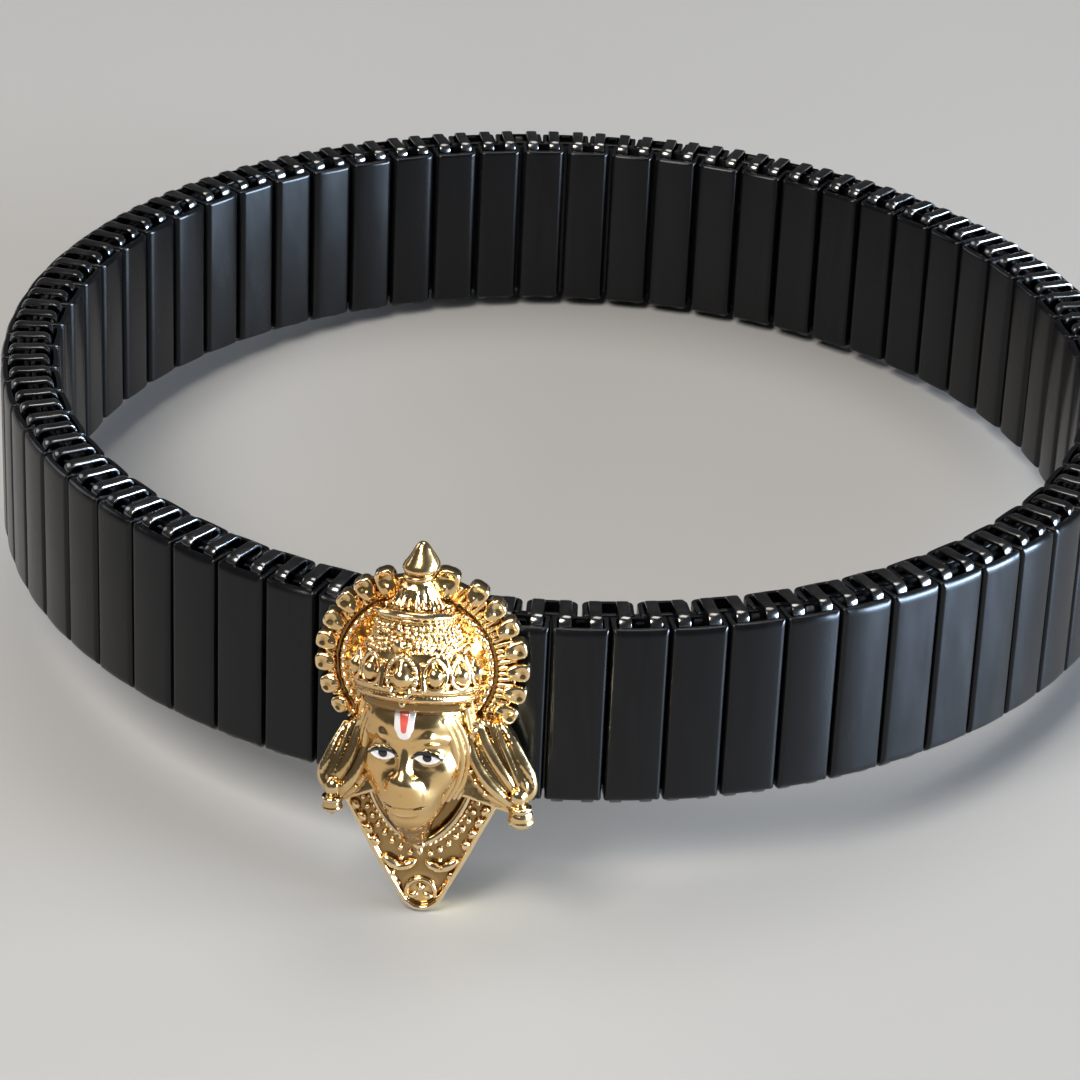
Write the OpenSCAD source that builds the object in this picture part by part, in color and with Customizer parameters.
// Expansion link bracelet with a cast mask charm. Millimetres, +Z up.
// The bracelet lies as it rests by itself. The charm hangs lower than the
// band, so its pointed tip and the band's back edge touch the surface z = 0,
// and the ring leans a few degrees, front up.
// Two rows of hollow sleeves, half a pitch apart, are joined by flat U-clips
// at both edges. Each sleeve holds a leaf spring between the clips' legs.

/* [Band] */
// Radius of the outer row's faces
band_r = 32.15; // [31:0.05:34]
// Height of a sleeve, from edge to edge
sleeve_h = 10; // [8:0.5:14]
// Thickness of one row of sleeves
row_t = 1.6; // [1.5:0.05:1.7]
// Gap between the two rows
row_gap = 0.09; // [0.06:0.01:0.12]
// Gap between two outer faces
groove = 0.18; // [0.14:0.01:0.24]
// Width of an inner sleeve
inner_w = 2.6; // [2.54:0.01:2.64]
// Wall of a sleeve
wall = 0.24; // [0.2:0.01:0.26]
// Rise of an outer sleeve's crowned face over its sides
crown_rise = 0.06; // [0.02:0.01:0.1]

/* [Clips and springs] */
// Width of a clip's strip
clip_w = 0.66; // [0.5:0.01:0.68]
// Thickness of a clip's strip
clip_t = 0.22; // [0.15:0.01:0.24]
// How far a clip stands over the sleeves' edges
clip_up = 0.45; // [0.35:0.01:0.6]
// Length of a clip's legs inside the sleeves
leg_in = 2.2; // [1.6:0.1:3]
// Radius of a clip's bends
bend_r = 0.5; // [0.35:0.01:0.6]
// Width of a leaf spring
spring_w = 1.8; // [1.4:0.05:1.9]

/* [Charm] */
// Height of the halo's centre over the band's middle
halo_z = 3.2; // [2:0.1:4]
// Distance of the halo's middle plane from the band's faces
halo_off = 1.2; // [1:0.05:1.6]
// Radius over the halo's lobes
halo_r = 5.4; // [5.1:0.05:5.7]
// Lobes on a whole turn of the halo
halo_lobes = 25; // [23:1:27]
// Turn of the charm about the upright axis
charm_turn = 7; // [0:0.5:9]
// Turn of the crown and head against the halo
head_turn = -7; // [-9:0.5:0]
// Roll of the charm about its outward axis
charm_roll = 2; // [0:0.5:5]
// Lean of the charm, top towards the band
charm_lean = 3.2; // [2:0.1:4.5]
// Depth of the pointed collar's tip below the halo's centre
tip_drop = 13.95; // [13:0.01:15]
// Half width of the collar at its upper corners
collar_w = 3.9; // [3.6:0.1:4.4]

/* [Hidden] */

arcs = 11;                 // solids in each row
per_arc = 6;               // links in each of them
links = arcs * per_arc;    // 66 links in each row
pitch = 360 / links;       // degrees
half_h = sleeve_h / 2;
outer_w = 2 * band_r * tan(pitch / 2) - groove;
r1 = band_r - row_t;             // inner side of the outer row
r2 = r1 - row_gap;               // outer side of the inner row
r3 = r2 - row_t;                 // the side that meets the wrist
web_out = r1 + 0.55;             // bottom of the grooves between outer links
web_in = r2 - 0.36;              // bottom of the grooves between inner links

clip_ro = band_r - 0.42;         // outside of a clip's outer leg
clip_ri = r3 + 0.51;             // inside of a clip's inner leg
clip_a = 0.24 * pitch;           // clip's place, from the nearer inner link
spring_t = 0.24;
spring_ro = band_r - 0.98;       // middle of the outer springs
spring_ri = band_r - 2.3;        // middle of the inner springs

black = [0.045, 0.047, 0.052];
steel = [0.10, 0.10, 0.105];
gold = [0.83, 0.62, 0.29];

// The charm's tip in the ring's own frame, and the lean of the resting ring
tip_out = band_r + halo_off + 0.35 + tip_drop * sin(charm_lean);
tip_z = halo_z - tip_drop * cos(charm_lean);
edge_z = -(half_h + clip_up);
rest_lean = atan((edge_z - tip_z) / (tip_out + clip_ro - bend_r / 2));
lift = 0.018 - (tip_z * cos(rest_lean) + tip_out * sin(rest_lean));
y_mid = 2.85;                    // centres the whole on the origin

// Puts the ring's own frame into the resting pose
module rest() {
    translate([0, y_mid, lift]) rotate([-rest_lean, 0, 0]) children();
}

// A point at local x, radius r, in the frame of a link at angle a
function at(a, x, r) = [x * cos(a) + r * sin(a), x * sin(a) - r * cos(a)];

function flat(l) = [for (a = l) for (b = a) b];

// Outer row: crowned faces with rounded long edges, columns x, r
function outer_face(a) = let (w = outer_w / 2) [
    at(a, -w, band_r - 0.42),
    at(a, -w + 0.05, band_r - 0.22),
    at(a, -w + 0.17, band_r - crown_rise - 0.03),
    at(a, -w + 0.42, band_r - crown_rise / 2),
    at(a, 0, band_r),
    at(a, w - 0.42, band_r - crown_rise / 2),
    at(a, w - 0.17, band_r - crown_rise - 0.03),
    at(a, w - 0.05, band_r - 0.22),
    at(a, w, band_r - 0.42)];

module outer_links(k) {
    a0 = (k * per_arc - per_arc / 2 + 0.5) * pitch;
    w = outer_w / 2;
    front = flat([for (j = [0:per_arc - 1]) let (a = a0 + j * pitch) concat(
        j > 0 ? [at(a, -w, web_out)] : [],
        outer_face(a),
        j < per_arc - 1 ? [at(a, w, web_out)] : [])]);
    back = [for (j = [per_arc - 2:-1:0])
        at(a0 + (j + 0.5) * pitch, 0, r1 / cos(pitch / 2))];
    color(black) rest() difference() {
        translate([0, 0, -half_h]) linear_extrude(sleeve_h)
            polygon(concat(front, [at(a0 + (per_arc - 1) * pitch, w, r1)],
                back, [at(a0, -w, r1)]));
        for (j = [0:per_arc - 1]) rotate([0, 0, a0 + j * pitch])
            translate([-w + wall, -band_r + wall, -half_h - 1])
                cube([outer_w - 2 * wall, row_t - 2 * wall, sleeve_h + 2]);
    }
}

// Inner row: the side that meets the wrist has rounded long edges
function inner_face(a) = let (w = inner_w / 2) [
    at(a, w, r3 + 0.46),
    at(a, w - 0.07, r3 + 0.22),
    at(a, w - 0.22, r3 + 0.07),
    at(a, w - 0.46, r3),
    at(a, -w + 0.46, r3),
    at(a, -w + 0.22, r3 + 0.07),
    at(a, -w + 0.07, r3 + 0.22),
    at(a, -w, r3 + 0.46)];

module inner_links(k) {
    a0 = (k * per_arc - per_arc / 2) * pitch;
    w = inner_w / 2;
    back = flat([for (j = [per_arc - 1:-1:0]) let (a = a0 + j * pitch) concat(
        j < per_arc - 1 ? [at(a, w, web_in)] : [],
        inner_face(a),
        j > 0 ? [at(a, -w, web_in)] : [])]);
    front = [for (j = [0:per_arc - 2])
        at(a0 + (j + 0.5) * pitch, 0, r2 / cos(pitch / 2))];
    color(black) rest() difference() {
        translate([0, 0, -half_h]) linear_extrude(sleeve_h)
            polygon(concat([at(a0, -w, r2)], front,
                [at(a0 + (per_arc - 1) * pitch, w, r2)], back));
        for (j = [0:per_arc - 1]) rotate([0, 0, a0 + j * pitch])
            translate([-w + wall, -r2 + wall, -half_h - 1])
                cube([inner_w - 2 * wall, row_t - 2 * wall, sleeve_h + 2]);
    }
}

// Side view of a clip at the upper edge, columns y, z, with y = -radius
function bend(y, z, r, from, to) =
    [for (i = [0:2]) let (t = from + (to - from) * i / 2) [y + r * cos(t), z + r * sin(t)]];

module clip(a) {
    zt = half_h + clip_up;
    zb = half_h - leg_in;
    yo = -clip_ro;
    yi = -clip_ri;
    rotate([0, 0, a]) rotate([90, 0, 90])
        linear_extrude(clip_w, center = true) polygon(concat(
            [[yo, zb]],
            bend(yo + bend_r, zt - bend_r, bend_r, 180, 90),
            bend(yi - bend_r, zt - bend_r, bend_r, 90, 0),
            [[yi, zb], [yi - clip_t, zb]],
            bend(yi - bend_r, zt - bend_r, bend_r - clip_t, 0, 90),
            bend(yo + bend_r, zt - bend_r, bend_r - clip_t, 90, 180),
            [[yo + clip_t, zb]]));
}

// A leaf spring that fills a sleeve's height, and a lug that joins it to a leg
module spring(a, r) {
    rotate([0, 0, a]) translate([-spring_w / 2, -r - spring_t / 2, -half_h + 0.2])
        cube([spring_w, spring_t, sleeve_h - 0.4]);
}

module lug(a, r_leg, r_spring) {
    lo = min(r_leg, r_spring);
    hi = max(r_leg, r_spring);
    rotate([0, 0, a]) translate([-0.2, -hi, half_h - leg_in + 0.3])
        cube([0.4, hi - lo, 0.7]);
}

module clips(k) {
    leg_o = clip_ro - clip_t / 2;
    leg_i = clip_ri + clip_t / 2;
    color(steel) rest() union() {
        for (j = [0:per_arc - 1]) {
            a = (k * per_arc - per_arc / 2 + j) * pitch;
            spring(a, spring_ri);
            spring(a + pitch / 2, spring_ro);
            for (m = [0, 1]) mirror([0, 0, m]) {
                clip(a + clip_a);
                lug(a + clip_a, leg_o, spring_ro);
                lug(a + clip_a, leg_i, spring_ri);
                clip(a + pitch - clip_a);
                lug(a + pitch - clip_a, leg_o, spring_ro);
                if (j < per_arc - 1) lug(a + pitch - clip_a, leg_i, spring_ri);
            }
        }
    }
}

// ---- Charm. Local frame: x right, -y outwards, z up from the halo's centre

module halo() {
    rotate([90, 0, 0]) cylinder(r = halo_r - 0.9, h = 0.7, center = true, $fn = 40);
    translate([0, -0.36, 0]) rotate([90, 0, 0])
        rotate_extrude($fn = 40) translate([halo_r - 1.8, 0]) circle(r = 0.2, $fn = 6);
    for (i = [-9:8]) rotate([0, (i + 0.5) * 360 / halo_lobes, 0]) {
        translate([0, -0.1, halo_r - 0.44]) sphere(r = 0.44, $fn = 10);
        translate([-0.3, -0.45, halo_r - 1.4]) cube([0.6, 0.7, 0.9]);
    }
}

// Crown profile, columns radius, height
crown_rows = [[0, 7.0], [0.16, 6.85], [0.62, 6.0], [0.88, 5.5], [0.8, 5.3], [0.6, 5.2],
    [0.76, 5.1], [0.76, 4.95], [0.6, 4.85], [0.85, 4.3], [1.2, 3.7], [2.15, 3.0],
    [2.2, 2.75], [2.0, 2.6], [2.05, 1.9], [2.25, 1.3], [2.75, 0.9], [3.05, 0.3],
    [3.12, -0.55], [3.33, -0.7], [3.33, -1.25], [2.7, -1.5], [0, -1.5]];

module crown() {
    intersection() {
        translate([0, -0.8, 0]) rotate_extrude($fn = 32) polygon(crown_rows);
        translate([-4, -4.1, -3]) cube([8, 4.3, 12]);
    }
    // jewels set round the crown's lower band
    for (j = [-2:2]) translate([0, -0.8, 0.1 + 0.15 * (2 - abs(j))])
        rotate([0, 0, j * 29]) translate([0, -3.05, 0])
            sphere(r = j == 0 ? 0.75 : 0.5, $fn = 14);
}

module head() {
    // the back is flat, as cast
    intersection() {
        hull() {
            translate([0, -1.1, -1.6]) sphere(r = 2.45, $fn = 20);
            translate([0, -1.0, -4.4]) sphere(r = 2.5, $fn = 20);
            translate([0, -1.5, -7.2]) sphere(r = 1.35, $fn = 16);
        }
        translate([-4, -6, -12]) cube([8, 6.3, 16]);
    }
    // muzzle, nose and brows
    hull() {
        translate([0, -2.9, -6.1]) sphere(r = 1.2, $fn = 16);
        translate([0, -2.4, -6.9]) sphere(r = 1.3, $fn = 16);
    }
    hull() {
        translate([0, -3.1, -3.6]) sphere(r = 0.45, $fn = 12);
        translate([0, -4.0, -5.5]) sphere(r = 0.5, $fn = 12);
    }
    for (s = [-1, 1]) {
        hull() {
            translate([s * 0.5, -3.2, -3.0]) sphere(r = 0.4, $fn = 12);
            translate([s * 1.9, -2.6, -3.1]) sphere(r = 0.35, $fn = 12);
        }
    }
}

// Ears with their long drops, one on each side
module ear(s) {
    hull() {
        translate([s * 2.6, -0.8, -4.6]) sphere(r = 0.6, $fn = 14);
        translate([s * 3.7, -0.8, -3.8]) sphere(r = 0.55, $fn = 14);
        translate([s * 3.9, -0.7, -6.2]) sphere(r = 0.6, $fn = 14);
    }
    hull() {
        translate([s * 4.1, -0.9, -4.4]) sphere(r = 0.5, $fn = 14);
        translate([s * 5.05, -0.9, -6.6]) sphere(r = 0.65, $fn = 14);
    }
    hull() {
        translate([s * 5.0, -0.9, -7.2]) sphere(r = 0.5, $fn = 14);
        translate([s * 4.95, -0.9, -8.1]) sphere(r = 0.6, $fn = 14);
    }
}

// Pointed collar: a plate with a raised inner rim and a round boss at its tip
module collar() {
    translate([0, -0.05, 0]) rotate([90, 0, 0]) linear_extrude(0.9) polygon([
        [-3.2, -6.2], [3.2, -6.2], [collar_w, -7.7], [2.33, -10.85],
        [0.95, -13.3], [0.55, -13.8], [0, -tip_drop], [-0.55, -13.8],
        [-0.95, -13.3], [-2.33, -10.85], [-collar_w, -7.7]]);
    hull() {
        translate([0, -1.0, -8.3]) sphere(r = 0.9, $fn = 16);
        translate([-2.7, -0.8, -7.2]) sphere(r = 0.5, $fn = 12);
        translate([2.7, -0.8, -7.2]) sphere(r = 0.5, $fn = 12);
    }
    translate([0, -0.9, -12.64]) rotate([90, 0, 0]) cylinder(r = 0.95, h = 0.3, $fn = 24);
}

// Pad that carries the charm, soldered to its back, close to two outer links
module pad() {
    translate([-2.3, -band_r - halo_off - 0.2, -3.8]) cube([4.6, halo_off + 0.15, 7.6]);
}

module mask_charm() {
    color(gold) rest() union() {
        pad();
        translate([0, -band_r - halo_off, halo_z]) rotate([0, 0, charm_turn])
            rotate([-charm_lean, 0, 0]) rotate([0, -charm_roll, 0]) {
            halo();
            translate([0, -0.8, 0]) rotate([0, 0, head_turn]) translate([0, 0.8, 0]) {
                crown();
                head();
            }
            ear(-1);
            ear(1);
            collar();
        }
    }
}

outer_links(0);  // outer_links_01
outer_links(1);  // outer_links_02
outer_links(2);  // outer_links_03
outer_links(3);  // outer_links_04
outer_links(4);  // outer_links_05
outer_links(5);  // outer_links_06
outer_links(6);  // outer_links_07
outer_links(7);  // outer_links_08
outer_links(8);  // outer_links_09
outer_links(9);  // outer_links_10
outer_links(10);  // outer_links_11
inner_links(0);  // inner_links_01
inner_links(1);  // inner_links_02
inner_links(2);  // inner_links_03
inner_links(3);  // inner_links_04
inner_links(4);  // inner_links_05
inner_links(5);  // inner_links_06
inner_links(6);  // inner_links_07
inner_links(7);  // inner_links_08
inner_links(8);  // inner_links_09
inner_links(9);  // inner_links_10
inner_links(10);  // inner_links_11
clips(0);  // clips_01
clips(1);  // clips_02
clips(2);  // clips_03
clips(3);  // clips_04
clips(4);  // clips_05
clips(5);  // clips_06
clips(6);  // clips_07
clips(7);  // clips_08
clips(8);  // clips_09
clips(9);  // clips_10
clips(10);  // clips_11
mask_charm();
